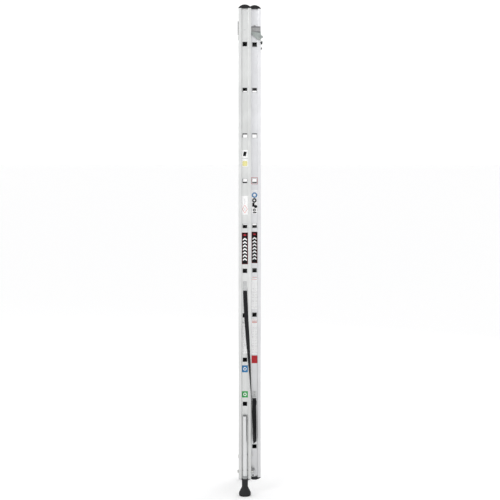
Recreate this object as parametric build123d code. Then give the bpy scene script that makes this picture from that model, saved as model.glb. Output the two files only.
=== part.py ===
"""Two-section aluminium extension ladder, closed, standing upright.

Millimetres. X runs along the rungs, Y from the front (outer section) to the back (inner), Z is up.
The origin is on the floor, midway between the sides and midway between front and back.
Y is measured here from the middle of the outer rails, and save() moves every piece into place.
Each function draws the right-hand piece, at +X; the left-hand one is its mirror image.
"""

import os
from math import atan2, degrees, radians, tan

from build123d import *

# ---- rails -----------------------------------------------------------------------------------
RAIL_DEPTH = 79.0  # front to back
RAIL_THICK = 25.0  # along X
FLANGE = 19.75  # depth of each hollow flange
WALL = 1.6
CORNER = 2.5
GROOVE = 18.0  # the web lies this far behind the rail's outboard face
WEB = 2.0
WEB_OVERLAP = 0.5  # how far the web's edges are drawn into the flanges
OUTER_FACE = 200.0  # outboard face of the outer rail
INNER_FACE = 165.0  # outboard face of the inner rail
SECTION_STEP = 60.0  # the inner rails lie this far behind the outer rails
RAIL_BOTTOM = 107.0
RAIL_LENGTH = 2932.0

# ---- rungs -----------------------------------------------------------------------------------
RUNG_COUNT = 10
RUNG_PITCH = 280.0
RUNG = 30.0
RUNG_WALL = 1.6
TREAD_WALL = 2.3  # the top and bottom walls carry the grip grooves
GRIP_GROOVES = (-10.0, -5.0, 0.0, 5.0, 10.0)
GRIP_WIDTH = 1.8
GRIP_DEPTH = 0.8
COLLAR = 34.0  # swaged lip that holds the rung in the web
COLLAR_THICK = 1.2
RUNG_FIT = 0.05

# ---- end caps --------------------------------------------------------------------------------
TOP_DOME = 22.0
BOTTOM_DOME = 16.0
CAP_BASE = 2.0
PLUG_REACH = 18.0
PLUG_GAP = 0.3
PLUG_PLATE = 3.0

# ---- legs, feet and their cross bolts ----------------------------------------------------------
LEG_RADIUS = 14.5
LEG_WALL = 2.0
LEG_GAP = 0.6  # between the leg tube and the rungs' collars
LEG_END = 72.0
FOOT_FIT = 0.05
FOOT_RADIUS = 38.0
FOOT_SOLE = 34.0
FOOT_RIM = (35.5, 24.0)  # radius and height of the top of the rounded rim
FOOT_BELL = ((29.5, 37.0), (23.0, 49.0))  # radii and heights up the bell
FOOT_NECK = 19.2
FOOT_NECK_BASE = 57.0
FOOT_COLLAR = 16.0
FOOT_GAP = 1.0  # between the foot's neck and the plug above it
SLEEVE_LOW = 8.0
SLEEVE_HIGH = 20.0
SLEEVE_LIP = 0.8
BOLT_X = 192.0
BOLT_FIT = 0.1
LOW_BOLT = {"radius": 6.0, "flats": 19.0, "head": 7.5, "nut": 10.0, "tail": 8.0}
HIGH_BOLT = {"radius": 3.0, "flats": 10.0, "head": 3.6, "nut": 5.0, "tail": 6.0}

# ---- top fitting -----------------------------------------------------------------------------
GUIDE_THICK = 3.0
LIP_GAP = 0.5
LIP_WIDTH = 24.0
TAIL_THICK = 1.5
TAIL_WIDTH = 11.0
BAND_BACK = 96.0
BAND_TAPER = 7.0  # how much lower the band's back corner is
TAB = (53.0, 55.0, 66.0, 68.0)  # where the tab on the band's top edge rises, is level and falls
TAB_HIGH = 9.0
HOOK_INSIDE = 168.0
HOOK_THICK = 4.0
BEAK_BACK = 113.5
BEAK_INSIDE = 152.0
LATCH_Y = 88.0
LATCH_WIRE = 1.5
LATCH_SIDE = 180.0  # X of the lever's arm
KNOB_Y = 102.0
KNOB_RADIUS = 5.2
KNOB_LENGTH = 16.0
KNOB_ROUND = 2.0
LEVER_BEND = 4.0
LEVER_TAIL = 2.0  # how far the lever's end stands out inside the hook plate
LEVER_RIM = 1.0
LEVER_RIM_THICK = 1.2

# ---- torsion springs: wire radius, ring radius, gap to the plate, ring spacing and leg along Z ----
SPRING_TURNS = 3
LATCH_SPRING = {"wire": 0.5, "ring": 2.2, "gap": 0.05, "spacing": 0.9, "leg": -40.0}
HOOK_SPRING = {"wire": 1.0, "ring": 5.3, "gap": 0.3, "spacing": -1.9, "leg": 24.0}

# ---- lower guide and rung hook -----------------------------------------------------------------
GUIDE_PAD_REACH = 181.0
GUIDE_PAD = (41.0, 62.0)
GUIDE_PAD_HIGH = 38.0
PAD_ROUND = 3.0
PAD_FLOOR = 4.0  # under the rivet heads, which lie sunk in the pad
PAD_HEAD_GAP = 0.5
PIVOT_Y = 30.0
PIN_RADIUS = 4.0
PIN_FIT = 0.075
PIN_HEAD = 7.0
PIN_HEAD_THICK = 3.0
PIN_TAIL = 8.0  # how far the pin stands out inside the hook
PIN_RING_THICK = 2.0
RUNG_HOOK_OUT = 139.4
RUNG_HOOK_THICK = 5.0
HOOK_HEEL = 8.5  # radius of the hook's round lower end
HOOK_GAP = 0.3  # between the hook's nose and the rung under it

# ---- rivets ----------------------------------------------------------------------------------
RIVET = 2.5
RIVET_HEAD = 5.0
HEAD_HIGH = 1.6
RIVET_FIT = 0.02

# ---- spread strap ----------------------------------------------------------------------------
STRAP_CORD = 6.0
ARC_SHARE = 0.45  # of the shorter run beside a bend
STRAP_PLATE_THICK = 3.0
STRAP_PLATE_ROUND = 3.0
OUTER_PLATE = (24.0, 42.0)
INNER_PLATE = (27.0, 30.0)
STRAP_ROUTE = (
    (188.0, 0.5, 1313.0),
    (193.5, 2.5, 1247.0),
    (201.5, 7.5, 1152.0),
    (207.0, 16.0, 1022.0),
    (211.5, 25.5, 882.0),
    (214.0, 35.0, 742.0),
    (214.5, 41.8, 612.0),
    (213.5, 46.8, 492.0),
    (211.5, 51.5, 414.0),
    (210.0, 56.5, 374.0),
    (208.5, 60.0, 354.0),
    (204.5, 62.0, 342.0),
    (197.0, 63.0, 338.0),
    (189.5, 63.5, 342.0),
    (186.0, 63.5, 354.0),
    (185.0, 62.8, 374.0),
    (182.5, 61.5, 407.0),
    (176.5, 60.0, 466.0),
    (167.0, 59.0, 541.0),
    (154.0, 58.5, 621.0),
)

# ---- places worked out from the sizes above ------------------------------------------------------
RAIL_TOP = RAIL_BOTTOM + RAIL_LENGTH
FIRST_RUNG = RAIL_BOTTOM + 195.0
OUTER_INSIDE = OUTER_FACE - RAIL_THICK
OUTER_WEB = OUTER_FACE - GROOVE
INNER_WEB = INNER_FACE - GROOVE
HALF_DEPTH = RAIL_DEPTH / 2
FLANGE_OFFSET = HALF_DEPTH - FLANGE / 2
LEG_X = OUTER_WEB + COLLAR_THICK + LEG_GAP + LEG_RADIUS
LEG_TOP = RAIL_BOTTOM + 400.0
LOW_BOLT_Z = RAIL_BOTTOM + 44.5
HIGH_BOLT_Z = RAIL_BOTTOM + 147.0
GUIDE_INSIDE = OUTER_INSIDE - GUIDE_THICK
GUIDE_FRONT = -HALF_DEPTH - LIP_GAP - GUIDE_THICK
GUIDE_TOP = RAIL_TOP - 80.0
GUIDE_BOTTOM = RAIL_TOP - 160.0
TAIL_BOTTOM = RAIL_TOP - 193.0
BAND_TOP = RAIL_TOP - 109.0
BAND_BOTTOM = RAIL_TOP - 139.0
BEAK_Z = RAIL_TOP - 173.0
LATCH_Z = RAIL_TOP - 179.0
KNOB_Z = RAIL_TOP - 211.0
PIVOT_Z = FIRST_RUNG - 39.0
GUIDE_PAD_Z = RAIL_BOTTOM + 28.0
OUTER_PLATE_Z = RAIL_TOP - 1703.5
INNER_PLATE_Z = RAIL_TOP - 2396.5

# ---- rivets, as (y, z) pairs ---------------------------------------------------------------------
GUIDE_RIVETS = tuple((y, RAIL_TOP - drop) for y in (-29.6, 29.6) for drop in (92.0, 148.0))
WEB_RIVET = (0.0, RAIL_TOP - 131.0)
BAND_RIVETS = ((54.0, RAIL_TOP - 124.0), (84.0, RAIL_TOP - 124.0))
OUTER_PLATE_RIVETS = tuple((0.0, OUTER_PLATE_Z + step) for step in (-11.0, 11.0))
INNER_PLATE_RIVETS = tuple((SECTION_STEP, INNER_PLATE_Z + step) for step in (-8.0, 8.0))
GUIDE_PAD_RIVETS = tuple((51.5, GUIDE_PAD_Z + step) for step in (-11.0, 11.0))

# The ends along Y are the head of the low bolt and the beak of the top hook.
SHIFT_Y = (HALF_DEPTH + LOW_BOLT["head"] - BEAK_BACK) / 2


# ---- shapes ----------------------------------------------------------------------------------
def block(x_span, y_span, z_span):
    """A box between pairs of limits."""
    spans = (x_span, y_span, z_span)
    size = [high - low for low, high in spans]
    middle = [(high + low) / 2 for low, high in spans]
    return Pos(*middle) * Box(*size)


def rod_x(radius, x_span, y, z):
    """A round bar along X."""
    low, high = x_span
    return Pos((low + high) / 2, y, z) * Rot(0, 90, 0) * Cylinder(radius, high - low)


def rod_y(radius, y_span, x, z):
    """A round bar along Y."""
    low, high = y_span
    return Pos(x, (low + high) / 2, z) * Rot(90, 0, 0) * Cylinder(radius, high - low)


def hex_y(flats, y_span, x, z):
    """A hexagon bar along Y, with two flats facing X."""
    low, high = y_span
    bar = extrude(RegularPolygon(flats / 2, 6, major_radius=False), high - low)
    return Pos(x, high, z) * Rot(90, 0, 0) * Rot(0, 0, 30) * bar


def plate_yz(points, x_span):
    """A flat plate with an outline of (y, z) points."""
    low, high = x_span
    outline = make_face(Plane.YZ * Polyline(*points, close=True))
    return Pos(low, 0, 0) * extrude(outline, high - low, dir=(1, 0, 0))


def drilled(shape, radius, x_span, holes):
    """The shape with round holes along X at (y, z) places."""
    for y, z in holes:
        shape -= rod_x(radius, x_span, y, z)
    return shape


def save(node, *solids):
    """Write one node, moved so that the origin is midway between front and back."""
    placed = [Pos(0, SHIFT_Y, 0) * solid for solid in solids]
    export_step(placed[0] if len(placed) == 1 else Compound(children=placed), f"parts/{node}.step")


def save_pair(name, piece):
    """Write a right-hand piece and its mirror image."""
    save(f"{name}_right", piece)
    save(f"{name}_left", mirror(piece, Plane.YZ))


def save_both_sides(name, solids):
    """Write the right-hand solids and their mirror images as one node."""
    save(name, *solids, *[mirror(solid, Plane.YZ) for solid in solids])


# ---- rails and rungs -------------------------------------------------------------------------
def rung_heights():
    """The middle of every rung, from the bottom up."""
    return [FIRST_RUNG + RUNG_PITCH * step for step in range(RUNG_COUNT)]


def rail(face, y_middle):
    """Two hollow flanges joined by a web, with a square hole for every rung."""
    web_x = face - GROOVE - WEB / 2
    outline = Pos(web_x, y_middle) * Rectangle(WEB, RAIL_DEPTH - 2 * FLANGE + 2 * WEB_OVERLAP)
    for y in (y_middle - FLANGE_OFFSET, y_middle + FLANGE_OFFSET):
        outline += Pos(face - RAIL_THICK / 2, y) * RectangleRounded(RAIL_THICK, FLANGE, CORNER)
    for y in (y_middle - FLANGE_OFFSET, y_middle + FLANGE_OFFSET):
        hollow = RectangleRounded(RAIL_THICK - 2 * WALL, FLANGE - 2 * WALL, CORNER - WALL)
        outline -= Pos(face - RAIL_THICK / 2, y) * hollow
    body = Pos(0, 0, RAIL_BOTTOM) * extrude(outline, RAIL_LENGTH)
    half = RUNG / 2 + RUNG_FIT
    web_span = (web_x - WEB, web_x + WEB)
    for z in rung_heights():
        body -= block(web_span, (y_middle - half, y_middle + half), (z - half, z + half))
    return body


def outer_rail():
    """An outer rail with the holes for its rivets and cross bolts."""
    body = rail(OUTER_FACE, 0)
    body = drilled(body, RIVET + RIVET_FIT, (OUTER_INSIDE - 1, OUTER_INSIDE + 4), GUIDE_RIVETS)
    web_rivets = OUTER_PLATE_RIVETS + (WEB_RIVET,)
    body = drilled(body, RIVET + RIVET_FIT, (OUTER_WEB - 4, OUTER_WEB + 1), web_rivets)
    for hole in cross_bolt_holes():
        body -= hole
    return body


def inner_rail():
    """An inner rail with the holes for its rivets and for the rung hook's pin."""
    body = rail(INNER_FACE, SECTION_STEP)
    web_rivets = INNER_PLATE_RIVETS + GUIDE_PAD_RIVETS
    body = drilled(body, RIVET + RIVET_FIT, (INNER_WEB - 4, INNER_WEB + 1), web_rivets)
    pin_span = (INNER_FACE - RAIL_THICK - 1, INNER_FACE + 1)
    return drilled(body, PIN_RADIUS + PIN_FIT, pin_span, ((PIVOT_Y, PIVOT_Z),))


def rung(face, y_middle, z_middle):
    """A hollow square rung with grip grooves, swaged into the webs of both rails."""
    web_out = face - GROOVE
    end = web_out + COLLAR_THICK
    profile = Rectangle(RUNG, RUNG)
    for offset in GRIP_GROOVES:
        for side in (-1, 1):
            profile -= Pos(offset, side * (RUNG - GRIP_DEPTH) / 2) * Rectangle(GRIP_WIDTH, GRIP_DEPTH)
    solid = extrude(Plane.YZ * profile, end, both=True)
    for side in (-1, 1):
        for x in (web_out + COLLAR_THICK / 2, web_out - WEB - COLLAR_THICK / 2):
            solid += Pos(side * x, 0, 0) * Box(COLLAR_THICK, COLLAR, COLLAR)
    solid -= Box(2 * end + 2, RUNG - 2 * RUNG_WALL, RUNG - 2 * TREAD_WALL)
    return Pos(0, y_middle, z_middle) * solid


# ---- end caps --------------------------------------------------------------------------------
def flange_plugs(face, y_middle, z_span):
    """The two blocks of a cap that fill the ends of the hollow flanges."""
    inset = WALL + PLUG_GAP
    half = FLANGE / 2 - inset
    x_span = (face - RAIL_THICK + inset, face - inset)
    middles = (y_middle - FLANGE_OFFSET, y_middle + FLANGE_OFFSET)
    return [block(x_span, (y - half, y + half), z_span) for y in middles]


def domed_cap(face, y_middle, rise):
    """A plastic cap whose outside is an arc from front to back, drawn standing on z = 0."""
    base = block((face - RAIL_THICK, face), (y_middle - HALF_DEPTH, y_middle + HALF_DEPTH), (0, CAP_BASE))
    chord = Line((-HALF_DEPTH, 0), (HALF_DEPTH, 0))
    arc = ThreePointArc((-HALF_DEPTH, 0), (0, rise - CAP_BASE), (HALF_DEPTH, 0))
    dome = extrude(Plane.YZ * make_face(chord + arc), RAIL_THICK, dir=(1, 0, 0))
    cap = base + Pos(face - RAIL_THICK, y_middle, CAP_BASE) * dome
    for plug in flange_plugs(face, y_middle, (-PLUG_REACH, 0)):
        cap += plug
    return cap


def top_cap(face, y_middle):
    """A domed cap on the top of a rail."""
    return Pos(0, 0, RAIL_TOP) * domed_cap(face, y_middle, TOP_DOME)


def inner_bottom_cap():
    """A domed cap under an inner rail."""
    cap = domed_cap(INNER_FACE, SECTION_STEP, BOTTOM_DOME)
    return Pos(0, 0, RAIL_BOTTOM) * mirror(cap, Plane.XY)


def outer_bottom_plug():
    """A flat plug under an outer rail, open where the leg tube comes down the groove."""
    z_span = (RAIL_BOTTOM - PLUG_PLATE, RAIL_BOTTOM)
    plug = block((OUTER_INSIDE, OUTER_FACE), (-HALF_DEPTH, HALF_DEPTH), z_span)
    half_groove = HALF_DEPTH - FLANGE
    cut_span = (z_span[0] - 1, z_span[1] + 1)
    plug -= block((OUTER_WEB, OUTER_FACE + 1), (-half_groove, half_groove), cut_span)
    for piece in flange_plugs(OUTER_FACE, 0, (RAIL_BOTTOM, RAIL_BOTTOM + PLUG_REACH)):
        plug += piece
    return plug


# ---- legs, feet and cross bolts ----------------------------------------------------------------
def cross_bolts():
    """The two cross bolts' sizes, each with its height."""
    return ((LOW_BOLT, LOW_BOLT_Z), (HIGH_BOLT, HIGH_BOLT_Z))


def cross_bolt_holes():
    """Holes from front to back through an outer rail and its leg tube."""
    y_span = (-HALF_DEPTH - 1, HALF_DEPTH + 1)
    return [rod_y(size["radius"] + BOLT_FIT, y_span, BOLT_X, z) for size, z in cross_bolts()]


def leg_tube():
    """A round tube that runs down the outer rail's groove and into the foot."""
    height = LEG_TOP - LEG_END
    tube = Cylinder(LEG_RADIUS, height) - Cylinder(LEG_RADIUS - LEG_WALL, height + 2)
    tube = Pos(LEG_X, 0, LEG_END + height / 2) * tube
    for hole in cross_bolt_holes():
        tube -= hole
    return tube


def leg_bolts():
    """A heavy and a light cross bolt, each with its nut."""
    solids = []
    for size, z in cross_bolts():
        nut_end = HALF_DEPTH + size["nut"]
        bolt = rod_y(size["radius"], (-HALF_DEPTH, nut_end + size["tail"]), BOLT_X, z)
        bolt += hex_y(size["flats"], (-HALF_DEPTH - size["head"], -HALF_DEPTH), BOLT_X, z)
        nut = hex_y(size["flats"], (HALF_DEPTH, nut_end), BOLT_X, z)
        nut -= rod_y(size["radius"] + RIVET_FIT, (HALF_DEPTH - 1, nut_end + 1), BOLT_X, z)
        solids += [bolt, nut]
    return solids


def rubber_foot():
    """A bell-shaped rubber foot with a sleeve that grips the end of the leg tube."""
    bore = LEG_RADIUS + FOOT_FIT
    neck_top = RAIL_BOTTOM - PLUG_PLATE - FOOT_GAP
    edge = ThreePointArc((FOOT_SOLE, 0), (FOOT_RADIUS, FOOT_RIM[1] / 2), FOOT_RIM)
    outline = Polyline(
        FOOT_RIM,
        *FOOT_BELL,
        (FOOT_NECK, FOOT_NECK_BASE),
        (FOOT_NECK, neck_top),
        (FOOT_COLLAR, neck_top),
        (FOOT_COLLAR, RAIL_BOTTOM + SLEEVE_LOW),
        (bore + SLEEVE_LIP, RAIL_BOTTOM + SLEEVE_HIGH),
        (bore, RAIL_BOTTOM + SLEEVE_HIGH),
        (bore, LEG_END),
        (0, LEG_END),
        (0, 0),
        (FOOT_SOLE, 0),
    )
    return Pos(LEG_X, 0, 0) * revolve(Plane.XZ * make_face(edge + outline), Axis.Z)


# ---- top fitting -----------------------------------------------------------------------------
def top_guide():
    """A steel plate inside the outer rail that wraps its front and reaches back by the inner rail."""
    outline = (
        (GUIDE_FRONT, GUIDE_BOTTOM),
        (HALF_DEPTH, GUIDE_BOTTOM),
        (HALF_DEPTH, BAND_BOTTOM),
        (BAND_BACK, BAND_BOTTOM - BAND_TAPER),
        (BAND_BACK, BAND_TOP),
        (TAB[3], BAND_TOP),
        (TAB[2], BAND_TOP + TAB_HIGH),
        (TAB[1], BAND_TOP + TAB_HIGH),
        (TAB[0], BAND_TOP),
        (HALF_DEPTH, BAND_TOP),
        (HALF_DEPTH, GUIDE_TOP),
        (GUIDE_FRONT, GUIDE_TOP),
    )
    lip_back = GUIDE_FRONT + GUIDE_THICK
    tail_x = (GUIDE_INSIDE, GUIDE_INSIDE + TAIL_WIDTH)
    plate = plate_yz(outline, (GUIDE_INSIDE, OUTER_INSIDE))
    plate += block(
        (OUTER_INSIDE, OUTER_INSIDE + LIP_WIDTH), (GUIDE_FRONT, lip_back), (GUIDE_BOTTOM, GUIDE_TOP)
    )
    plate += block(tail_x, (lip_back - TAIL_THICK, lip_back), (TAIL_BOTTOM, GUIDE_BOTTOM))
    holes = GUIDE_RIVETS + BAND_RIVETS + (WEB_RIVET,)
    return drilled(plate, RIVET + RIVET_FIT, (GUIDE_INSIDE - 1, OUTER_INSIDE + 1), holes)


def top_hook():
    """The hook plate under the guide's band, with a beak that turns in behind the inner rail."""
    outline = (
        (40.5, RAIL_TOP - 116.0),
        (94.0, RAIL_TOP - 116.0),
        (97.5, RAIL_TOP - 146.0),
        (101.0, RAIL_TOP - 162.0),
        (BEAK_BACK - 3.0, BEAK_Z + 6.0),
        (BEAK_BACK, BEAK_Z - 2.0),
        (103.0, BEAK_Z - 6.5),
        (96.0, RAIL_TOP - 190.0),
        (88.0, RAIL_TOP - 192.5),
        (80.0, RAIL_TOP - 189.0),
        (40.5, RAIL_TOP - 153.0),
    )
    x_span = (HOOK_INSIDE, HOOK_INSIDE + HOOK_THICK)
    hook = plate_yz(outline, x_span)
    hook += block((BEAK_INSIDE, HOOK_INSIDE), (104.0, 108.0), (BEAK_Z - 5.0, BEAK_Z + 5.0))
    drill_span = (HOOK_INSIDE - 1, HOOK_INSIDE + HOOK_THICK + 1)
    hook = drilled(hook, RIVET + RIVET_FIT, drill_span, BAND_RIVETS)
    return drilled(hook, LATCH_WIRE + PIN_FIT, drill_span, ((LATCH_Y, LATCH_Z),))


def latch_lever():
    """Spring wire from the pivot in the hook plate, bent down to the knob."""
    start = HOOK_INSIDE - LEVER_TAIL
    points = ((start, LATCH_Y, LATCH_Z), (LATCH_SIDE, LATCH_Y, LATCH_Z), (LATCH_SIDE, KNOB_Y, KNOB_Z))
    path = FilletPolyline(*points, radius=LEVER_BEND)
    wire = sweep(Plane(origin=path @ 0, z_dir=path % 0) * Circle(LATCH_WIRE), path)
    return wire + rod_x(LATCH_WIRE + LEVER_RIM, (start, start + LEVER_RIM_THICK), LATCH_Y, LATCH_Z)


def latch_knob():
    """The plastic knob on the end of the wire."""
    lean = degrees(atan2(KNOB_Y - LATCH_Y, LATCH_Z - KNOB_Z))
    knob = Cylinder(KNOB_RADIUS, KNOB_LENGTH)
    knob = fillet(knob.edges().filter_by(GeomType.CIRCLE), KNOB_ROUND)
    return Pos(LATCH_SIDE, KNOB_Y, KNOB_Z) * Rot(lean, 0, 0) * knob - latch_lever()


def torsion_spring(size, x, y, z):
    """Rings side by side along X round an axis at (y, z), with a straight leg beside the first ring."""
    spring = Pos(x, y - size["ring"], z + size["leg"] / 2) * Cylinder(size["wire"], abs(size["leg"]))
    for turn in range(SPRING_TURNS):
        ring = Torus(size["ring"], size["wire"])
        spring += Pos(x + turn * size["spacing"], y, z) * Rot(0, 90, 0) * ring
    return spring


def latch_spring():
    """The spring round the latch's pivot, outside the hook plate, with its leg down."""
    first = HOOK_INSIDE + HOOK_THICK + LATCH_SPRING["gap"] + LATCH_SPRING["wire"]
    return torsion_spring(LATCH_SPRING, first, LATCH_Y, LATCH_Z)


# ---- lower guide and rung hook -------------------------------------------------------------------
def lower_guide():
    """A block in the inner rail's groove that slides on the back of the outer rail."""
    half = GUIDE_PAD_HIGH / 2
    z_span = (GUIDE_PAD_Z - half, GUIDE_PAD_Z + half)
    pad = block((INNER_WEB, GUIDE_PAD_REACH), GUIDE_PAD, z_span)
    pad = fillet(pad.edges().filter_by(Axis.Y).group_by(Axis.X)[-1], PAD_ROUND)
    head_seat = INNER_WEB + PAD_FLOOR
    pad = drilled(pad, RIVET + RIVET_FIT, (INNER_WEB - 1, head_seat + 1), GUIDE_PAD_RIVETS)
    return drilled(pad, RIVET_HEAD + PAD_HEAD_GAP, (head_seat, GUIDE_PAD_REACH + 1), GUIDE_PAD_RIVETS)


def rung_hook():
    """A pivoting hook whose nose rests on an outer rung."""
    rung_top = FIRST_RUNG + RUNG / 2
    nose_z = rung_top + HOOK_GAP
    outline = (
        (21.5, PIVOT_Z - 5.0),
        (38.5, PIVOT_Z - 5.0),
        (38.5, PIVOT_Z + 4.0),
        (27.0, PIVOT_Z + 22.0),
        (27.0, nose_z + 11.0),
        (22.0, nose_z + 14.0),
        (2.0, nose_z + 12.0),
        (0.0, nose_z + 9.0),
        (0.0, nose_z),
        (16.5, nose_z),
        (16.5, PIVOT_Z + 8.0),
    )
    x_span = (RUNG_HOOK_OUT - RUNG_HOOK_THICK, RUNG_HOOK_OUT)
    hook = plate_yz(outline, x_span) + rod_x(HOOK_HEEL, x_span, PIVOT_Y, PIVOT_Z - 5.0)
    return hook - rod_x(PIN_RADIUS + PIN_FIT, (x_span[0] - 1, x_span[1] + 1), PIVOT_Y, PIVOT_Z)


def hook_pin():
    """The headed pin that carries a rung hook, through the inner rail's front flange."""
    inside = RUNG_HOOK_OUT - RUNG_HOOK_THICK
    tail = inside - PIN_TAIL
    pin = rod_x(PIN_RADIUS, (tail, INNER_FACE), PIVOT_Y, PIVOT_Z)
    pin += rod_x(PIN_HEAD, (INNER_FACE, INNER_FACE + PIN_HEAD_THICK), PIVOT_Y, PIVOT_Z)
    return pin + rod_x(PIN_HEAD, (tail - PIN_RING_THICK, tail), PIVOT_Y, PIVOT_Z)


def hook_spring():
    """The spring on the pin, inside the rung hook, with its leg up against the hook's side."""
    first = RUNG_HOOK_OUT - RUNG_HOOK_THICK - HOOK_SPRING["gap"] - HOOK_SPRING["wire"]
    return torsion_spring(HOOK_SPRING, first, PIVOT_Y, PIVOT_Z)


# ---- rivets ----------------------------------------------------------------------------------
def rivets(places, x_span):
    """Rivets along X at (y, z) places, gripping x_span between two flat round heads."""
    low, high = x_span
    solids = []
    for y, z in places:
        rivet = rod_x(RIVET, x_span, y, z)
        rivet += rod_x(RIVET_HEAD, (low - HEAD_HIGH, low), y, z)
        rivet += rod_x(RIVET_HEAD, (high, high + HEAD_HIGH), y, z)
        solids.append(rivet)
    return solids


def outer_rivets():
    """Rivets of the top fitting and of the outer strap plate."""
    return (
        rivets(GUIDE_RIVETS, (GUIDE_INSIDE, OUTER_INSIDE + WALL))
        + rivets(BAND_RIVETS, (HOOK_INSIDE, OUTER_INSIDE))
        + rivets((WEB_RIVET,), (GUIDE_INSIDE, OUTER_WEB))
        + rivets(OUTER_PLATE_RIVETS, (OUTER_WEB - WEB, OUTER_WEB + STRAP_PLATE_THICK))
    )


def inner_rivets():
    """Rivets of the inner strap plate and of the lower guide."""
    plate_rivets = rivets(INNER_PLATE_RIVETS, (INNER_WEB - WEB, INNER_WEB + STRAP_PLATE_THICK))
    return plate_rivets + rivets(GUIDE_PAD_RIVETS, (INNER_WEB - WEB, INNER_WEB + PAD_FLOOR))


# ---- spread strap ----------------------------------------------------------------------------
def strap_plate(size, web_out, y, z, holes):
    """The steel plate that holds one end of the strap."""
    half_wide, half_high = size[0] / 2, size[1] / 2
    x_span = (web_out, web_out + STRAP_PLATE_THICK)
    plate = block(x_span, (y - half_wide, y + half_wide), (z - half_high, z + half_high))
    plate = fillet(plate.edges().filter_by(Axis.X), STRAP_PLATE_ROUND)
    return drilled(plate, RIVET + RIVET_FIT, (web_out - 1, web_out + STRAP_PLATE_THICK + 1), holes)


def route_turns(route):
    """The turn in degrees at each inner point, with the lengths of the runs before and after it."""
    points = [Vector(*point) for point in route]
    runs = [after - before for before, after in zip(points, points[1:])]
    return [(a.get_angle(b), a.length, b.length) for a, b in zip(runs, runs[1:])]


def bend_radii(route):
    """A tangent arc for each inner point, as large as the runs beside it allow."""
    radii = []
    for turn, before, after in route_turns(route):
        radii.append(ARC_SHARE * min(before, after) / tan(radians(turn) / 2))
    return radii


def strap():
    """The strap's plain stand-in: a round cord along its route."""
    path = FilletPolyline(*STRAP_ROUTE, radius=bend_radii(STRAP_ROUTE))
    print("strap length", round(path.length, 1))
    return sweep(Plane(origin=path @ 0, z_dir=path % 0) * Circle(STRAP_CORD / 2), path)


def main():
    """Write every node."""
    os.makedirs("parts", exist_ok=True)
    save_pair("outer_rail", outer_rail())
    save_pair("inner_rail", inner_rail())
    for number, z in enumerate(rung_heights(), start=1):
        save(f"outer_rung_{number:02d}", rung(OUTER_FACE, 0, z))
        save(f"inner_rung_{number:02d}", rung(INNER_FACE, SECTION_STEP, z))
    save_pair("outer_top_cap", top_cap(OUTER_FACE, 0))
    save_pair("inner_top_cap", top_cap(INNER_FACE, SECTION_STEP))
    save_pair("inner_bottom_cap", inner_bottom_cap())
    save_pair("outer_bottom_plug", outer_bottom_plug())
    save_pair("leg_tube", leg_tube())
    save_pair("rubber_foot", rubber_foot())
    save_both_sides("leg_bolts", leg_bolts())
    save_pair("top_guide", top_guide())
    save_pair("top_hook", top_hook())
    save_pair("latch_lever", latch_lever())
    save_pair("latch_knob", latch_knob())
    save_both_sides("latch_springs", [latch_spring()])
    save_both_sides("outer_rivets", outer_rivets())
    save_pair("lower_guide", lower_guide())
    save_pair("rung_hook", rung_hook())
    save_both_sides("hook_pins", [hook_pin()])
    save_both_sides("hook_springs", [hook_spring()])
    save_both_sides("inner_rivets", inner_rivets())
    outer_plate = strap_plate(OUTER_PLATE, OUTER_WEB, 0, OUTER_PLATE_Z, OUTER_PLATE_RIVETS)
    inner_plate = strap_plate(INNER_PLATE, INNER_WEB, SECTION_STEP, INNER_PLATE_Z, INNER_PLATE_RIVETS)
    save_both_sides("outer_strap_plates", [outer_plate])
    save_both_sides("inner_strap_plates", [inner_plate])
    save_pair("strap", strap())


main()
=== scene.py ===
"""Looks of a closed two-section aluminium extension ladder. Metres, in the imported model's frame."""

import math

import bmesh
import bpy
from mathutils import Matrix, Vector


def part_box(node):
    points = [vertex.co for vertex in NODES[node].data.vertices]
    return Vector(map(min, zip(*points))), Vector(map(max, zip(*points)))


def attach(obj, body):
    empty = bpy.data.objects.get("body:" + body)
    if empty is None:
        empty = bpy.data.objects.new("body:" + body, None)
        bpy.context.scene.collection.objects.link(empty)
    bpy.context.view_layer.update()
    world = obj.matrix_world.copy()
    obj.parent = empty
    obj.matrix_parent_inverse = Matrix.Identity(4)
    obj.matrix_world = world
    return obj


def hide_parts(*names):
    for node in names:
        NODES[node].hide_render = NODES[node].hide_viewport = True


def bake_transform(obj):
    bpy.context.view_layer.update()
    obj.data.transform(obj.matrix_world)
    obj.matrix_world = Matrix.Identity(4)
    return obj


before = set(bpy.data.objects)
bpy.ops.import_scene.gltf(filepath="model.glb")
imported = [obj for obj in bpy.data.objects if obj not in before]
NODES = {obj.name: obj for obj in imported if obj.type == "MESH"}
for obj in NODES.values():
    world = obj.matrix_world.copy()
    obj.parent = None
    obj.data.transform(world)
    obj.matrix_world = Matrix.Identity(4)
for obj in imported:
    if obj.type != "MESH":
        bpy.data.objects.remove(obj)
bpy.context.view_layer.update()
SIDES = (("right", 1), ("left", -1))

# ---- places read from the frame ------------------------------------------------------------
RAIL_LOW, RAIL_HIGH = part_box("outer_rail_right")
OUTER_Y = (RAIL_LOW[1] + RAIL_HIGH[1]) / 2
RAIL_BOTTOM = RAIL_LOW[2]
RAIL_TOP = RAIL_HIGH[2]
INNER_LOW, INNER_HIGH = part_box("inner_rail_right")
INNER_Y = (INNER_LOW[1] + INNER_HIGH[1]) / 2
OUTER_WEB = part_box("outer_strap_plates")[1][0] - 0.003
INNER_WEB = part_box("inner_strap_plates")[1][0] - 0.003
COLLAR_STANDS = 0.0013  # just over the height of a rung's collar on the web

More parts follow.
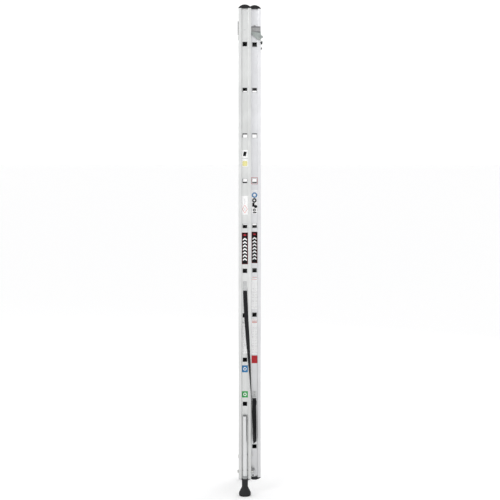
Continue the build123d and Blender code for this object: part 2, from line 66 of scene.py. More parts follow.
FIRST_RUNG = sum(corner[2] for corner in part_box("outer_rung_01")) / 2
RUNG_PITCH = sum(corner[2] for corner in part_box("outer_rung_02")) / 2 - FIRST_RUNG
BORE_HALF_DEEP = 0.0141  # just over half of a rung's bore along Y
BORE_HALF_HIGH = 0.0135  # and along Z
BAND_TOP_DROP = 0.109  # from the top of the rails to the guide band's edges
BAND_LOW_DROP = 0.139

# ---- colours that part of a piece takes ------------------------------------------------------
# painted shade: the near-black colour of the rungs' inside walls, standing in for the shade inside the
# tubes
BORE_SHADE = (0.055, 0.055, 0.058)
BORE_ROUGH = 0.55
# painted shade: the grey the rails are mixed towards near the ground, standing in for the shade low on
# the ladder
LOW_SHADE = (0.30, 0.30, 0.30)
LOW_SHADE_FLOOR = 0.2  # the height below which the rails' painted shade is fullest
# painted shade along the guide band's edges, then the darker colour of the guide's front lip
BAND_EDGE_SHADE = (0.13, 0.13, 0.135)
LIP_DARK = (0.02, 0.02, 0.022)
BAND_RIVET = (0.40, 0.40, 0.40)
# painted reflection: the grey of the foot's sleeve where it catches light
SLEEVE_SHEEN = (0.30, 0.31, 0.31)

# ---- camera --------------------------------------------------------------------------------
CAMERA_DISTANCE = 7.739
CAMERA_HEIGHT = 2.1336
CAMERA_SIDE = 0.055  # from the middle of the outer rails
CAMERA_PITCH = math.radians(4.40)
CAMERA_TURN = math.radians(-0.175)
LENS = 87.6


def make_camera():
    """A long lens that looks along the rungs from the right-hand side."""
    data = bpy.data.cameras.new("camera")
    data.lens = LENS
    data.sensor_width = 36.0
    data.clip_end = 400.0
    camera = bpy.data.objects.new("camera", data)
    bpy.context.scene.collection.objects.link(camera)
    look = Vector(
        (
            -math.cos(CAMERA_PITCH) * math.cos(CAMERA_TURN),
            math.cos(CAMERA_PITCH) * math.sin(CAMERA_TURN),
            -math.sin(CAMERA_PITCH),
        )
    )
    camera.location = (CAMERA_DISTANCE, OUTER_Y + CAMERA_SIDE, CAMERA_HEIGHT)
    camera.rotation_euler = look.to_track_quat("-Z", "Y").to_euler()
    bpy.context.scene.camera = camera


# ---- nodes of a material ---------------------------------------------------------------------
class Shade:
    """A material being built: a principled surface and short calls that add nodes to it."""

    def __init__(self, name, color, metallic, roughness):
        self.material = bpy.data.materials.new(name)
        self.material.use_nodes = True
        self.tree = self.material.node_tree
        self.surface = self.tree.nodes["Principled BSDF"]
        self.surface.inputs["Base Color"].default_value = (*color, 1.0)
        self.surface.inputs["Metallic"].default_value = metallic
        self.surface.inputs["Roughness"].default_value = roughness
        self.coords = self.node("ShaderNodeTexCoord").outputs["Object"]

    def node(self, kind, **settings):
        """A new node with its settings."""
        made = self.tree.nodes.new(kind)
        for key, value in settings.items():
            setattr(made, key, value)
        return made

    def link(self, output, node, socket):
        """Joins an output to a node's input."""
        self.tree.links.new(output, node.inputs[socket])

    def stretched(self, scale, source=None):
        """Coordinates scaled by a vector."""
        mapping = self.node("ShaderNodeMapping")
        mapping.inputs["Scale"].default_value = scale
        self.link(source or self.coords, mapping, "Vector")
        return mapping.outputs["Vector"]

    def noise(self, scale, detail=3.0, vector=None, roughness=0.5):
        """Noise between 0 and 1."""
        made = self.node("ShaderNodeTexNoise")
        made.inputs["Scale"].default_value = scale
        made.inputs["Detail"].default_value = detail
        made.inputs["Roughness"].default_value = roughness
        self.link(vector or self.coords, made, "Vector")
        return made.outputs["Fac"]

    def spread(self, value, low, high, start=0.0, end=1.0):
        """A value mapped from start..end to low..high."""
        made = self.node("ShaderNodeMapRange")
        made.inputs["From Min"].default_value = start
        made.inputs["From Max"].default_value = end
        made.inputs["To Min"].default_value = low
        made.inputs["To Max"].default_value = high
        self.link(value, made, "Value")
        return made.outputs["Result"]

    def math(self, operation, first, second=0.0):
        """Arithmetic on an output and on an output or a number, or on the first alone."""
        made = self.node("ShaderNodeMath", operation=operation)
        self.link(first, made, 0)
        if isinstance(second, (int, float)):
            made.inputs[1].default_value = second
        else:
            self.link(second, made, 1)
        return made.outputs["Value"]

    def axis(self, letter):
        """One object coordinate."""
        split = self.node("ShaderNodeSeparateXYZ")
        self.link(self.coords, split, "Vector")
        return split.outputs[letter]

    def step(self, value, edge, soft=0.0006):
        """0 below an edge and 1 above it."""
        return self.spread(value, 0.0, 1.0, edge - soft, edge + soft)

    def within(self, value, low, high, soft=0.0006):
        """1 between two edges and 0 outside them."""
        above = self.step(value, low, soft)
        below = self.math("SUBTRACT", self.step(value, high, soft), 1.0)
        return self.math("MULTIPLY", above, self.math("ABSOLUTE", below))

    def mixed(self, mask, first, second):
        """The first colour where the mask is 0 and the second where it is 1."""
        made = self.node("ShaderNodeMix", data_type="RGBA")
        self.link(mask, made, "Factor")
        colors = [socket for socket in made.inputs if socket.type == "RGBA"]
        for socket, color in zip(colors, (first, second)):
            if isinstance(color, tuple):
                socket.default_value = (*color, 1.0)
            else:
                self.tree.links.new(color, socket)
        return next(socket for socket in made.outputs if socket.type == "RGBA")

    def ramp(self, value, *stops):
        """Colours along a value: stops are (position, (r, g, b))."""
        made = self.node("ShaderNodeValToRGB")
        elements = made.color_ramp.elements
        while len(elements) < len(stops):
            elements.new(0.5)
        for element, (position, color) in zip(elements, stops):
            element.position = position
            element.color = (*color, 1.0)
        self.link(value, made, "Fac")
        return made.outputs["Color"]

    def color(self, output):
        """Sets the colour."""
        self.link(output, self.surface, "Base Color")

    def roughness(self, output):
        """Sets the roughness."""
        self.link(output, self.surface, "Roughness")

    def bump(self, height, distance, strength=1.0, after=None):
        """Adds bumps of a real height in metres."""
        made = self.node("ShaderNodeBump")
        made.inputs["Strength"].default_value = strength
        made.inputs["Distance"].default_value = distance
        self.link(height, made, "Height")
        if after:
            self.link(after, made, "Normal")
        self.link(made.outputs["Normal"], self.surface, "Normal")
        return made.outputs["Normal"]


def scaled(color, factor):
    """A colour made lighter or darker."""
    return tuple(min(1.0, part * factor) for part in color)


def extruded(name, color, along, roughness=0.34, bore_y=None, low_shade=(0.0, 1.0)):
    """Extruded aluminium: die lines, painted shade towards the ground and painted shade in the rungs'
    bores.
    """
    shade = Shade(name, color, 1.0, roughness)
    lines = [900.0, 900.0, 900.0]
    lines["XYZ".index(along)] = 2.0
    die_lines = shade.noise(1.0, 4.0, shade.stretched(lines), 0.6)
    clouds = shade.noise(9.0, 3.0)
    scratch_scale = [260.0, 260.0, 260.0]
    scratch_scale["XYZ".index(along)] = 14.0
    scratches = shade.noise(1.0, 2.0, shade.stretched(scratch_scale), 0.4)
    tone = shade.math("ADD", shade.spread(die_lines, -0.10, 0.10), clouds)
    surface = shade.ramp(tone, (0.30, scaled(color, 0.93)), (0.70, scaled(color, 1.04)))
    # painted shade: the surface turns darker grey towards the ground
    amount, top = low_shade
    surface = shade.mixed(shade.spread(shade.axis("Z"), amount, 0.0, LOW_SHADE_FLOOR, top), surface, LOW_SHADE)
    wear = shade.spread(scratches, 0.0, 0.16, 0.62, 0.78)
    rough = shade.math("ADD", shade.spread(clouds, roughness - 0.05, roughness + 0.08), wear)
    if bore_y is not None:
        # painted shade: inside the bores the aluminium becomes a near-black, dull, non-metal surface in
        # place of the shade in the tubes
        bore = bore_mask(shade, bore_y)
        surface = shade.mixed(bore, surface, BORE_SHADE)
        rough = shade.math("MAXIMUM", rough, shade.math("MULTIPLY", bore, BORE_ROUGH))
        shade.link(shade.spread(bore, 1.0, 0.0), shade.surface, "Metallic")
        shade.link(shade.spread(bore, 0.5, 0.1), shade.surface, "Specular IOR Level")
    shade.color(surface)
    shade.roughness(rough)
    shade.bump(die_lines, 0.00006)
    return shade.material


def bore_mask(shade, middle_y):
    """1 on the inside walls of the square rungs, whose middles repeat up the ladder."""
    offset = shade.math("ABSOLUTE", shade.math("SUBTRACT", shade.axis("Y"), middle_y))
    rise = shade.math("ADD", shade.math("SUBTRACT", shade.axis("Z"), FIRST_RUNG), RUNG_PITCH / 2)
    local = shade.math("SUBTRACT", shade.math("MODULO", rise, RUNG_PITCH), RUNG_PITCH / 2)
    height = shade.math("ABSOLUTE", local)
    deep = shade.math("SUBTRACT", shade.step(offset, BORE_HALF_DEEP), 1.0)
    high = shade.math("SUBTRACT", shade.step(height, BORE_HALF_HIGH), 1.0)
    return shade.math("MULTIPLY", deep, high)


def sheet_steel(name, color, roughness=0.42, shadows=None):
    """Zinc-plated sheet: pale and dark patches with a fine tooth, and darker where shadows says."""
    shade = Shade(name, color, 1.0, roughness)
    spangle = shade.node("ShaderNodeTexVoronoi")
    spangle.inputs["Scale"].default_value = 160.0
    shade.link(shade.coords, spangle, "Vector")
    clouds = shade.noise(35.0, 4.0)
    tone = shade.math("ADD", shade.spread(spangle.outputs["Distance"], -0.08, 0.08), clouds)
    surface = shade.ramp(tone, (0.28, scaled(color, 0.82)), (0.72, scaled(color, 1.12)))
    for mask, dark in shadows(shade) if shadows else ():
        surface = shade.mixed(mask, surface, dark)
    shade.color(surface)
    shade.roughness(shade.spread(clouds, roughness - 0.08, roughness + 0.12))
    shade.bump(shade.noise(1400.0, 2.0), 0.00004)
    return shade.material


def guide_shadows(shade):
    """A darker front lip on the guide, and painted shade along the band's top and bottom edges."""
    lip = shade.within(shade.axis("Y"), -1.0, RAIL_LOW[1] - 0.0002)
    band = shade.step(shade.axis("Y"), RAIL_HIGH[1] + 0.0002)
    # painted shade: darker steel along the band's top edge and just under its lower edge
    edge = RAIL_TOP - BAND_TOP_DROP
    top = shade.math("MULTIPLY", band, shade.within(shade.axis("Z"), edge - 0.0055, edge + 0.0005))
    foot = RAIL_TOP - BAND_LOW_DROP
    low = shade.math("MULTIPLY", band, shade.within(shade.axis("Z"), foot - 0.008, foot - 0.0005, 0.002))
    return (lip, LIP_DARK), (top, BAND_EDGE_SHADE), (low, BAND_EDGE_SHADE)


def rivet_shadows(shade):
    """The rivets of the top band are darker, as the band is."""
    return ((shade.step(shade.axis("Y"), RAIL_HIGH[1] + 0.002), BAND_RIVET),)


def sleeve_sheen(shade):
    """Painted reflection: the foot's sleeve above the rail's lower end is painted grey for the light it
    catches.
    """
    return shade.step(shade.axis("Z"), RAIL_BOTTOM + 0.001)


def moulded(name, color, roughness, grain=2600.0, sheen_mask=None):
    """Moulded plastic or rubber: fine grain, faint flow marks, and a painted grey reflection where the
    given mask says.
    """
    shade = Shade(name, color, 0.0, roughness)
    fine = shade.noise(grain, 3.0)
    flow = shade.noise(28.0, 4.0)
    surface = shade.ramp(flow, (0.30, scaled(color, 0.80)), (0.75, scaled(color, 1.45)))
    if sheen_mask:
        # painted reflection on the foot's sleeve
        surface = shade.mixed(sheen_mask(shade), surface, SLEEVE_SHEEN)
    shade.color(surface)
    shade.surface.inputs["Specular IOR Level"].default_value = 0.3
    shade.roughness(shade.spread(flow, roughness - 0.06, roughness + 0.10))
    shade.bump(fine, 0.00008)
    return shade.material


MATERIALS = {
    "outer_rail": extruded("outer_rail_aluminium", (0.75, 0.76, 0.75), "Z", low_shade=(0.30, 1.3)),
    # painted light: the inner rail is paler than the outer one to make up for the shade it stands in
    # behind the outer rail
    "inner_rail": extruded("inner_rail_aluminium", (0.86, 0.865, 0.88), "Z", low_shade=(0.42, 2.4)),
    "outer_rung": extruded("outer_rung_aluminium", (0.72, 0.73, 0.725), "X", 0.34, OUTER_Y),
    "inner_rung": extruded("inner_rung_aluminium", (0.72, 0.73, 0.735), "X", 0.34, INNER_Y),
    "leg_tube": extruded("leg_tube_aluminium", (0.69, 0.70, 0.70), "Z", 0.30),
    "rivets": sheet_steel("rivet_aluminium", (0.66, 0.67, 0.67), 0.38, rivet_shadows),
    "guide": sheet_steel("guide_steel", (0.38, 0.38, 0.38), 0.42, guide_shadows),
    "plate": sheet_steel("plate_steel", (0.60, 0.61, 0.61), 0.40),
    "hook": sheet_steel("hook_steel", (0.40, 0.435, 0.42), 0.42),
    "fastener": sheet_steel("zinc_fastener", (0.60, 0.60, 0.58), 0.32),
    "cap": moulded("black_cap_plastic", (0.009, 0.009, 0.010), 0.46),
    "plug": moulded("grey_plug_plastic", (0.42, 0.43, 0.43), 0.55),
    # painted light: the lower guide's pad is made pale to make up for the shade it sits in
    "pad": moulded("pale_pad_plastic", (0.62, 0.63, 0.64), 0.55),
    "foot": moulded("foot_rubber", (0.013, 0.013, 0.014), 0.66, 1500.0, sleeve_sheen),
}

FINISHES = (
    ("outer_rail", "outer_rail"),
    ("inner_rail", "inner_rail"),
    ("outer_rung", "outer_rung"),
    ("inner_rung", "inner_rung"),
    ("leg_tube", "leg_tube"),
    ("outer_rivets", "rivets"),
    ("inner_rivets", "rivets"),
    ("top_guide", "guide"),
    ("outer_strap_plates", "plate"),
    ("inner_strap_plates", "plate"),
    ("top_hook", "hook"),
    ("rung_hook", "hook"),
    ("leg_bolts", "fastener"),
    ("hook_pins", "fastener"),
    ("hook_springs", "fastener"),
    ("latch_springs", "fastener"),
    ("latch_lever", "fastener"),
    ("latch_knob", "cap"),
    ("outer_top_cap", "cap"),
    ("inner_top_cap", "cap"),
    ("inner_bottom_cap", "cap"),
    ("outer_bottom_plug", "plug"),
    ("lower_guide", "pad"),
    ("rubber_foot", "foot"),
)


def finish_nodes():
    """Gives every CAD node its material."""
    for name, node in NODES.items():
        for start, key in FINISHES:
            if name.startswith(start):
                node.data.materials.clear()
                node.data.materials.append(MATERIALS[key])


# ---- straps ------------------------------------------------------------------------------------
STRAP_WIDTH = 0.025
STRAP_THICK = 0.0017
SELVEDGE = 0.0004  # how much thicker the woven edges are
RIB_PITCH = 0.0015
YARN_PITCH = 0.0021
STRAP_ROUTE = (
    (0.1880, 0.0005, 1.3130),
    (0.1935, 0.0025, 1.2470),
    (0.2015, 0.0075, 1.1520),
    (0.2070, 0.0160, 1.0220),
    (0.2115, 0.0255, 0.8820),
    (0.2140, 0.0350, 0.7420),
    (0.2145, 0.0418, 0.6120),
    (0.2135, 0.0468, 0.4920),
    (0.2115, 0.0515, 0.4140),
    (0.2100, 0.0565, 0.3740),
    (0.2085, 0.0600, 0.3540),
    (0.2045, 0.0620, 0.3420),
    (0.1970, 0.0630, 0.3380),
    (0.1895, 0.0635, 0.3420),
    (0.1860, 0.0635, 0.3540),
    (0.1850, 0.0628, 0.3740),
    (0.1825, 0.0615, 0.4070),
    (0.1765, 0.0600, 0.4660),
    (0.1670, 0.0590, 0.5410),
    (0.1540, 0.0585, 0.6210),
)
FOLD_X = 0.197  # the strap turns back up where it passes this
# The strap's twist in degrees, as (height, twist) pairs down the long run and up the short one.
TWIST_DOWN = (
    (1.313, 0.0),
    (1.152, -3.0),
    (1.022, -20.0),
    (0.882, -50.0),
    (0.712, -78.0),
    (0.612, -88.0),
    (0.432, -84.0),
    (0.337, -44.0),
)
TWIST_UP = ((0.337, -44.0), (0.372, -40.0), (0.472, -8.0), (0.552, 0.0), (0.621, 0.0))


def spline_points(route, resolution=16):
    """Points along one smooth curve through a route."""
    data = bpy.data.curves.new("route", "CURVE")
    data.dimensions = "3D"
    data.resolution_u = resolution
    spline = data.splines.new("NURBS")
    spline.points.add(len(route) - 1)
    for point, place in zip(spline.points, route):
        point.co = (*place, 1.0)
    spline.order_u = 3
    spline.use_endpoint_u = True
    holder = bpy.data.objects.new("route", data)
    mesh = bpy.data.meshes.new_from_object(holder)
    points = [vertex.co.copy() for vertex in mesh.vertices]
    bpy.data.objects.remove(holder)
    bpy.data.curves.remove(data)
    bpy.data.meshes.remove(mesh)
    return points


def between(pairs, value):
    """The value on a smooth line through (position, value) pairs that run one way."""
    for (low, first), (high, last) in zip(pairs, pairs[1:]):
        share = (value - low) / (high - low)
        if share <= 1.0:
            share = min(1.0, max(0.0, share))
            return first + (last - first) * share * share * (3.0 - 2.0 * share)
    return pairs[-1][1]


def strap_section():
    """One turn round the webbing's section, as (across, through) in metres."""
    half = STRAP_WIDTH / 2
    thin = STRAP_THICK / 2
    thick = thin + SELVEDGE / 2  # at the woven edges
    front = ((half, 0.0), (half - 0.0004, thick * 0.8), (half - 0.0012, thick), (half - 0.0026, thin))
    front += tuple((half * share, thin) for share in (0.5, 0.25, 0.0, -0.25, -0.5))
    front += tuple((-across, through) for across, through in reversed(front[:4]))
    back = tuple((across, -through) for across, through in reversed(front[1:-1]))
    return front + back


def strap_rings(points):
    """The webbing's rings along its centreline, each with its middle and its length so far."""
    rings = []
    travelled = 0.0
    for index, middle in enumerate(points):
        before = points[max(index - 1, 0)]
        after = points[min(index + 1, len(points) - 1)]
        travelled += (middle - before).length
        along = (after - before).normalized()
        down = middle.x > FOLD_X
        twist = math.radians(between_heights(middle.z, down))
        flat = Vector((0, 1, 0))
        flat = (flat - along * flat.dot(along)).normalized()
        flat.rotate(Matrix.Rotation(twist, 3, along))
        through = flat.cross(along)
        ring = [middle + flat * across + through * depth for across, depth in strap_section()]
        rings.append((middle, ring, travelled))
    return rings


def between_heights(height, down):
    """The twist at a height on the long run down or on the short run up."""
    if down:
        return between([(-z, twist) for z, twist in TWIST_DOWN], -height)
    return between(TWIST_UP, height)


def strap_mesh(name, rings, side):
    """A closed mesh of webbing rings with a map in metres, across and along the webbing."""
    mesh = bmesh.new()
    layer = mesh.loops.layers.uv.new("weave")
    section = strap_section()
    count = len(section)
    rows = []
    for _, ring, _ in rings:
        rows.append([mesh.verts.new((side * place.x, place.y, place.z)) for place in ring])
    for row, (first, second) in enumerate(zip(rows, rows[1:])):
        for index in range(count):
            following = (index + 1) % count
            corners = (first[index], first[following], second[following], second[index])
            face = mesh.faces.new(corners)
            face.smooth = True
            lengths = (rings[row][2], rings[row][2], rings[row + 1][2], rings[row + 1][2])
            across = (section[index][0], section[following][0], section[following][0], section[index][0])
            for loop, u, v in zip(face.loops, across, lengths):
                loop[layer].uv = (u, v)
    mesh.faces.new(rows[0])
    mesh.faces.new(rows[-1])
    bmesh.ops.recalc_face_normals(mesh, faces=mesh.faces)
    return piece_from(name, mesh)


def piece_from(name, mesh):
    """A new object from a bmesh."""
    data = bpy.data.meshes.new(name)
    mesh.to_mesh(data)
    mesh.free()
    made = bpy.data.objects.new(name, data)
    bpy.context.scene.collection.objects.link(made)
    return made


def webbing():
    """Black woven polyester: ribs across, fine yarns along, and a dusty wear on the raised yarns."""
    shade = Shade("black_webbing", (0.020, 0.020, 0.022), 0.0, 0.72)
    split = shade.node("ShaderNodeSeparateXYZ")
    weave_map = shade.node("ShaderNodeUVMap", uv_map="weave")
    shade.link(weave_map.outputs["UV"], split, "Vector")
    ribs = shade.math("SINE", shade.math("MULTIPLY", split.outputs["Y"], 2 * math.pi / RIB_PITCH))
    yarns = shade.math("SINE", shade.math("MULTIPLY", split.outputs["X"], 2 * math.pi / YARN_PITCH))
    weave = shade.math("MULTIPLY", ribs, yarns)
    fuzz = shade.noise(900.0, 3.0)
    height = shade.math("ADD", weave, shade.spread(fuzz, -0.5, 0.5))
    wear = shade.spread(shade.noise(14.0, 4.0), -0.35, 0.35)
    tone = shade.math("ADD", shade.spread(weave, 0.3, 0.7, -1.0, 1.0), wear)
    shade.color(shade.ramp(tone, (0.25, (0.006, 0.006, 0.007)), (0.9, (0.026, 0.026, 0.029))))
    shade.roughness(shade.spread(fuzz, 0.60, 0.86))
    shade.surface.inputs["Specular IOR Level"].default_value = 0.2
    shade.bump(height, 0.00022)
    return shade.material


def make_straps():
    """Two straps: a long run that hangs from the outer rail and a short one up to the inner rail."""
    material = webbing()
    centre = spline_points([(x, y + OUTER_Y, z) for x, y, z in STRAP_ROUTE])
    rings = strap_rings(centre)
    fold = min(range(len(rings)), key=lambda index: rings[index][0].z)
    for name, side in SIDES:
        parts = (("run", rings[: fold + 1]), ("return", rings[fold:]))
        for kind, part in parts:
            piece = strap_mesh(f"strap_{kind}_{name}", part, side)
            piece.data.materials.append(material)
            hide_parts(f"strap_{name}")
            if kind == "run":
                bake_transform(piece)
            else:
                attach(piece, "inner_section")


# ---- crimps that hold the straps' ends ---------------------------------------------------------
CRIMP_THICK = 0.0011
CRIMP_BEVEL = 0.0003
CRIMP_LONG = 0.014
CRIMP_GAP = 0.0011  # from the webbing's middle to the crimp's inside
CRIMP_TOP = 0.002  # how far the crimp reaches above the strap's end


def make_crimps(material):
    """Folded steel clips from the strap plates down over the straps' ends."""
    places = (
        ("outer", STRAP_ROUTE[0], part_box("outer_strap_plates"), 0.024, "outer_section"),
        ("inner", STRAP_ROUTE[-1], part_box("inner_strap_plates"), 0.026, "inner_section"),
    )
    for label, (x, y, z), (low, high), wide, body in places:
        plate_face = high[0]
        plate_foot = low[2]
        front = x + CRIMP_GAP
        back = x - CRIMP_GAP
        foot = z - CRIMP_LONG
        top = z + CRIMP_TOP
        profile = (
            (plate_face - 0.0022, plate_foot + 0.0005),
            (plate_face - 0.0022, top),
            (back - CRIMP_THICK, top - 0.003),
            (back - CRIMP_THICK, foot),
            (back, foot),
            (back, top - CRIMP_THICK),
            (front, top - CRIMP_THICK),
            (front, foot),
            (front + CRIMP_THICK, foot),
            (front + CRIMP_THICK, top),
            (plate_face + 0.0004, top + 0.0004),
            (plate_face + 0.0004, plate_foot + 0.0005),
        )
        for name, side in SIDES:
            piece = bar_along_y(f"strap_crimp_{label}_{name}", profile, y + OUTER_Y, wide, side)
            piece.data.materials.append(material)
            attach(piece, body)


def bar_along_y(name, profile, middle, wide, side):
    """A bar along Y with a profile of (x, z) points and eased edges."""
    mesh = bmesh.new()
    ends = []
    for y in (middle - wide / 2, middle + wide / 2):
        ends.append([mesh.verts.new((side * x, y, z)) for x, z in profile])
    count = len(profile)
    for index in range(count):
        following = (index + 1) % count
        mesh.faces.new((ends[0][index], ends[0][following], ends[1][following], ends[1][index]))
    mesh.faces.new(ends[0])
    mesh.faces.new(ends[1])
    bmesh.ops.recalc_face_normals(mesh, faces=mesh.faces)
    bmesh.ops.bevel(
        mesh,
        geom=mesh.edges,
        offset=CRIMP_BEVEL,
        segments=2,
        affect="EDGES",
        clamp_overlap=True,
    )
    return piece_from(name, mesh)


# ---- plain stickers on the webs ------------------------------------------------------------------
FILM = 0.00025  # thickness of a sticker
INK = 0.00006  # how far each printed shape stands on the one under it
WHITE_GLOW = 0.10  # emission that lifts the white films
BANNER_PITCH = 21.0  # from one chevron to the next, in millimetres
BANNER_CHEVRONS = 7
CHART_PITCH = 19.0  # from one row of a chart to the next, in millimetres
RED_FRAME_Z = 1.982


class Sticker:
    """A thin film on a web that faces outwards, with printed shapes. Its middle is (y, z) in metres."""

    def __init__(self, name, web_x, y, z, body):
        self.name = name
        self.base = web_x
        self.middle = (y, z)
        self.body = body
        self.mesh = bmesh.new()
        self.inks = []

    def shape(self, outline, ink, layer=1):
        """A flat shape of (across, up) points in millimetres, raised by its layer."""
        if ink not in self.inks:
            self.inks.append(ink)
        front = self.base + FILM + INK * (layer - 1)
        back = self.base if layer == 1 else front - INK
        y, z = self.middle
        rows = []
        for x in (back, front):
            rows.append([self.mesh.verts.new((x, y + u / 1000, z + v / 1000)) for u, v in outline])
        count = len(outline)
        faces = [self.mesh.faces.new(rows[1]), self.mesh.faces.new(list(reversed(rows[0])))]
        for index in range(count):
            following = (index + 1) % count
            corners = (rows[0][index], rows[0][following], rows[1][following], rows[1][index])
            faces.append(self.mesh.faces.new(corners))
        for face in faces:
            face.material_index = self.inks.index(ink)

    def panel(self, size, ink, middle=(0, 0), corner=2.0, layer=1):
        """A rectangle with rounded corners."""
        self.shape(rounded(size, middle, corner), ink, layer)

    def disc(self, radius, ink, middle=(0, 0), layer=2, count=28):
        """A round spot."""
        turns = [2 * math.pi * step / count for step in range(count)]
        u, v = middle
        self.shape([(u + radius * math.cos(a), v + radius * math.sin(a)) for a in turns], ink, layer)

    def frame(self, size, thick, ink, paper, middle=(0, 0), corner=2.0, layer=2):
        """A rectangle's outline: a panel with a smaller one of the paper's colour on it."""
        self.panel(size, ink, middle, corner, layer)
        inner = (size[0] - 2 * thick, size[1] - 2 * thick)
        self.panel(inner, paper, middle, max(corner - thick, 0.3), layer + 1)

    def finish(self):
        """Makes the object and puts it on its body."""
        bmesh.ops.recalc_face_normals(self.mesh, faces=self.mesh.faces)
        piece = piece_from(self.name, self.mesh)
        for ink in self.inks:
            piece.data.materials.append(film(ink))
        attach(piece, self.body)


def rounded(size, middle, corner, steps=5):
    """The outline of a rectangle with rounded corners."""
    half_wide, half_high = size[0] / 2, size[1] / 2
    corner = min(corner, half_wide * 0.98, half_high * 0.98)
    points = []
    for quarter, (along, up) in enumerate(((1, 1), (-1, 1), (-1, -1), (1, -1))):
        for step in range(steps + 1):
            angle = math.pi / 2 * (quarter + step / steps)
            u = middle[0] + along * (half_wide - corner) + corner * math.cos(angle)
            v = middle[1] + up * (half_high - corner) + corner * math.sin(angle)
            points.append((u, v))
    return points


INKS = {
    "white": (0.96, 0.96, 0.955),
    "black": (0.005, 0.005, 0.006),
    "grey": (0.33, 0.34, 0.34),
    "yellow": (0.86, 0.80, 0.36),
    "red": (0.56, 0.035, 0.045),
    "pink": (0.80, 0.42, 0.40),
    "blue": (0.06, 0.24, 0.50),
    "green": (0.05, 0.40, 0.10),
}


def film(ink):
    """Printed vinyl: a soft gloss, uneven ink and fine scuffs."""
    name = f"{ink}_film"
    if name in bpy.data.materials:
        return bpy.data.materials[name]
    color = INKS[ink]
    shade = Shade(name, color, 0.0, 0.35)
    tone = shade.noise(120.0, 4.0)
    scuffs = shade.noise(1.0, 3.0, shade.stretched((300.0, 300.0, 40.0)), 0.6)
    shade.color(shade.ramp(tone, (0.30, scaled(color, 0.88)), (0.70, scaled(color, 1.08))))
    shade.roughness(shade.spread(scuffs, 0.38, 0.60))
    shade.surface.inputs["Specular IOR Level"].default_value = 0.15
    if ink == "white":
        shade.surface.inputs["Emission Color"].default_value = (1.0, 1.0, 1.0, 1.0)
        shade.surface.inputs["Emission Strength"].default_value = WHITE_GLOW
    shade.bump(shade.noise(500.0, 2.0), 0.00003)
    return shade.material


def chevron(middle, wide, high, thick):
    """A chevron that points up, round a middle."""
    u, v = middle
    half = wide / 2
    rise = high - thick
    return [
        (u - half, v - high / 2),
        (u, v - high / 2 + rise),
        (u + half, v - high / 2),
        (u + half, v - high / 2 + thick),
        (u, v + high / 2),
        (u - half, v - high / 2 + thick),
    ]


def banner(name, web_x, y, z, wide, high, body):
    """A black band with a red edge line, a row of white chevrons and a red end panel."""
    sticker = Sticker(name, web_x, y, z, body)
    sticker.panel((wide, high), "black")
    sticker.frame((wide - 2.0, high - 2.0), 1.0, "red", "black", (0, 0), 1.5)
    sticker.panel((wide * 0.40, 9.0), "red", (0, high / 2 - 16.0), 1.0, 4)
    for step in range(BANNER_CHEVRONS):
        middle = (0.0, high / 2 - 42.0 - BANNER_PITCH * step)
        sticker.shape(chevron(middle, wide * 0.66, 18.0, 9.5), "white", 4)
    sticker.finish()


def chart(name, web_x, y, z, wide, high, body, heads):
    """A white sheet with plain grey bars and boxes and coloured headings."""
    sticker = Sticker(name, web_x, y, z, body)
    sticker.panel((wide, high), "white")
    for offset, tall, ink in heads:
        sticker.panel((wide * 0.86, tall), ink, (0, offset), 1.0, 2)
    for step in range(int((high - 52.0) / CHART_PITCH)):
        row = -high / 2 + 14.0 + CHART_PITCH * step
        for across in (-wide / 4, wide / 4):
            if step % 3 == 2:
                sticker.frame((wide * 0.30, 13.0), 0.8, "grey", "white", (across, row), 1.5, 2)
            else:
                sticker.panel((wide * 0.30, 1.2), "grey", (across, row), 0.5, 2)
    sticker.finish()


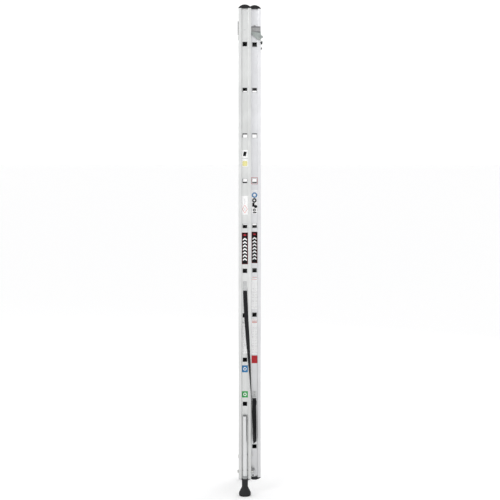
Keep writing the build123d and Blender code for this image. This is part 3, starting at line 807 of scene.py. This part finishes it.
def make_stickers():
    """The stickers of the right-hand outer and inner webs, all plain patterns."""
    outer = (OUTER_WEB, OUTER_Y, "outer_section")
    inner = (INNER_WEB, INNER_Y, "inner_section")

    def start(name, place, z):
        web_x, y, body = place
        return Sticker(name, web_x, y, z, body)

    patch = start("sticker_white_patch", outer, 2.1490)
    patch.panel((36, 48), "white")
    patch.shape([(-12, -12), (6, -15), (12, 12), (-6, 15)], "black", 2)
    patch.finish()
    patch = start("sticker_yellow_patch", outer, 2.0935)
    patch.panel((36, 47), "white")
    patch.panel((30, 32), "yellow", (0, -4), 6.0, 2)
    patch.finish()
    patch = start("sticker_red_frame_sheet", outer, 1.8310)
    patch.panel((36, 116), "white")
    patch.panel((2.4, 34), "grey", (0, 26), 1.0, 2)
    patch.shape([(-17, -24), (0, -52), (17, -24), (0, 4)], "pink", 2)
    patch.shape([(-13, -24), (0, -45.5), (13, -24), (0, -2.5)], "white", 3)
    patch.panel((2.4, 20), "grey", (0, -24), 1.0, 4)
    patch.finish()
    banner("sticker_banner_outer", OUTER_WEB, OUTER_Y, 1.5620, 38.0, 198.0, "outer_section")
    heads = ((92.0, 3.0, "grey"),)
    chart("sticker_chart_outer", OUTER_WEB, OUTER_Y, 1.0030, 36.0, 202.0, "outer_section", heads)
    for name, ink, z, high in (("blue", "blue", 0.804, 44), ("green", "green", 0.642, 40)):
        patch = start(f"sticker_{name}_patch", outer, z)
        patch.panel((37, high), ink)
        patch.disc(10.5, "white", (0, 0), 2)
        patch.disc(6.0, ink, (0, 0), 3)
        patch.finish()
    patch = start("sticker_blue_ring", inner, 1.8800)
    patch.panel((37, 150), "white", (0, -30), 6.0)
    patch.disc(17.0, "blue", (0, 13), 2)
    patch.disc(9.0, "white", (0, 13), 3)
    patch.disc(14.0, "black", (-1, -20), 2)
    patch.disc(5.5, "white", (-1, -20), 3)
    patch.panel((14, 26), "black", (-7, -47), 3.0, 2)
    patch.disc(10.0, "black", (7, -58), 2)
    patch.disc(9.0, "black", (-1, -80), 2)
    patch.disc(3.5, "white", (-1, -80), 3)
    patch.panel((22, 7), "black", (1, -96), 2.0, 2)
    patch.finish()
    banner("sticker_banner_inner", INNER_WEB, INNER_Y, 1.5655, 36.5, 197.0, "inner_section")
    heads = ((99.0, 2.2, "red"), (86.0, 3.0, "pink"))
    chart("sticker_chart_inner_high", INNER_WEB, INNER_Y, 1.2785, 36.0, 202.0, "inner_section", heads)
    heads = ((104.0, 3.0, "pink"), (92.0, 9.0, "pink"))
    chart("sticker_chart_inner_low", INNER_WEB, INNER_Y, 1.0030, 36.0, 226.0, "inner_section", heads)
    patch = Sticker("sticker_red_patch", INNER_WEB + COLLAR_STANDS, INNER_Y, 0.8585, "inner_section")
    patch.panel((36.5, 49), "red", (0, 0), 2.0)
    patch.finish()
    make_red_frame()


def make_red_frame():
    """A red line round the fourth rung from the top, outside its collar."""
    mesh = bmesh.new()
    outer = rounded((38.6, 42.0), (0, 0), 2.0)
    inner = rounded((35.0, 37.6), (0, 0), 0.6)
    rows = []
    for x, outline in ((0.0, outer), (FILM, outer), (FILM, inner), (0.0, inner)):
        places = [(INNER_WEB + x, INNER_Y + u / 1000, RED_FRAME_Z + v / 1000) for u, v in outline]
        rows.append([mesh.verts.new(place) for place in places])
    count = len(outer)
    for first, second in zip(rows, rows[1:] + rows[:1]):
        for index in range(count):
            following = (index + 1) % count
            mesh.faces.new((first[index], first[following], second[following], second[index]))
    bmesh.ops.recalc_face_normals(mesh, faces=mesh.faces)
    piece = piece_from("sticker_red_frame", mesh)
    piece.data.materials.append(film("red"))
    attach(piece, "inner_section")


# ---- floor and light -------------------------------------------------------------------------
FLOOR_REACH = 300.0


def make_stage():
    """A pale floor, a white surround and soft lights."""
    mesh = bpy.data.meshes.new("floor")
    corners = [(x * FLOOR_REACH, y * FLOOR_REACH, 0) for x, y in ((-1, -1), (1, -1), (1, 1), (-1, 1))]
    mesh.from_pydata(corners, [], [(0, 1, 2, 3)])
    floor = bpy.data.objects.new("floor", mesh)
    bpy.context.scene.collection.objects.link(floor)
    mesh.materials.append(Shade("pale_floor", (0.97, 0.97, 0.97), 0.0, 0.8).material)
    make_surround()
    add_area("key", (5.5, -3.5, 4.4), (0.0, 0.0, 1.5), 3.0, 80.0)
    add_area("rear", (-5.0, 3.0, 3.6), (0.0, 0.0, 1.5), 3.0, 60.0)
    bpy.context.scene.view_settings.view_transform = "Standard"


def make_surround():
    """White all round, a little darker on the camera's side so that the metal has tone."""
    world = bpy.data.worlds.new("surround")
    bpy.context.scene.world = world
    world.use_nodes = True
    tree = world.node_tree
    coords = tree.nodes.new("ShaderNodeTexCoord")
    split = tree.nodes.new("ShaderNodeSeparateXYZ")
    ramp = tree.nodes.new("ShaderNodeValToRGB")
    spread = tree.nodes.new("ShaderNodeMapRange")
    spread.inputs["From Min"].default_value = -1.0
    ramp.color_ramp.elements[0].position = 0.45
    ramp.color_ramp.elements[0].color = (1.0, 1.0, 1.0, 1.0)
    ramp.color_ramp.elements[1].position = 0.85
    ramp.color_ramp.elements[1].color = (0.80, 0.80, 0.81, 1.0)
    tree.links.new(coords.outputs["Generated"], split.inputs["Vector"])
    tree.links.new(split.outputs["X"], spread.inputs["Value"])
    tree.links.new(spread.outputs["Result"], ramp.inputs["Fac"])
    tree.links.new(ramp.outputs["Color"], tree.nodes["Background"].inputs["Color"])
    tree.nodes["Background"].inputs["Strength"].default_value = 1.08


def add_area(name, place, target, size, power):
    """A square soft light that faces a target."""
    data = bpy.data.lights.new(name, "AREA")
    data.size = size
    data.energy = power
    light = bpy.data.objects.new(name, data)
    bpy.context.scene.collection.objects.link(light)
    light.location = place
    light.rotation_euler = (Vector(target) - Vector(place)).to_track_quat("-Z", "Y").to_euler()


def main():
    """Builds the whole look."""
    make_camera()
    make_straps()
    finish_nodes()
    make_crimps(MATERIALS["plate"])
    make_stickers()
    make_stage()


main()
